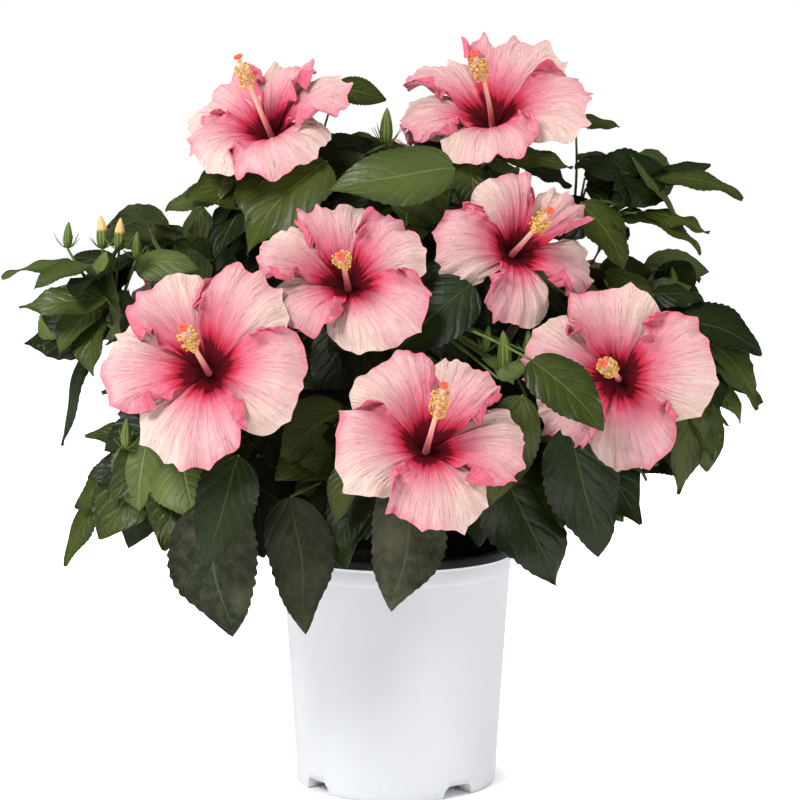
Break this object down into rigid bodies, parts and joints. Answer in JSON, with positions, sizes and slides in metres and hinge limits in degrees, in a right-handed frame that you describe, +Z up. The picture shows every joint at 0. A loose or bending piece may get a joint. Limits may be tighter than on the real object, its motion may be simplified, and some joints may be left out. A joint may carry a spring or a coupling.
{
  "type": "potted hibiscus shrub",
  "caption": "A flowering hibiscus shrub with an open, leafy crown and large funnel-shaped pink blooms, growing in a plain white round nursery pot filled with potting mix.",
  "frame": {"origin": "the middle of the pot's flat underside, on the pot's axis", "axes": "+Z is up, along the pot's axis; -Y is the full side of the crown, with most of the blooms; +X is to the right of a viewer who faces that side"},
  "size_m": [0.52, 0.4807, 0.5156],
  "materials": {
    "pot": "satin",
    "mix": "matte",
    "bark": "matte",
    "foliage": "satin"
  },
  "bodies": {
    "root": {"pot": "pot", "potting_mix": "mix", "trunk": "bark", "bough_back": "bark", "bough_back_left": "bark", "bough_back_right": "bark", "bough_front": "bark", "bough_left": "bark", "bough_lower_left": "bark", "bough_lower_right": "bark", "bough_middle": "bark", "bough_right": "bark", "bough_upper_back": "bark", "bough_upper_left": "bark", "bough_upper_middle": "bark", "bough_upper_right": "bark", "foliage_back": "foliage", "foliage_back_left": "foliage", "foliage_back_right": "foliage", "foliage_front": "foliage", "foliage_left": "foliage", "foliage_lower_left": "foliage", "foliage_lower_right": "foliage", "foliage_middle": "foliage", "foliage_right": "foliage", "foliage_upper_back": "foliage", "foliage_upper_left": "foliage", "foliage_upper_middle": "foliage", "foliage_upper_right": "foliage"}
  },
  "joints": []
}
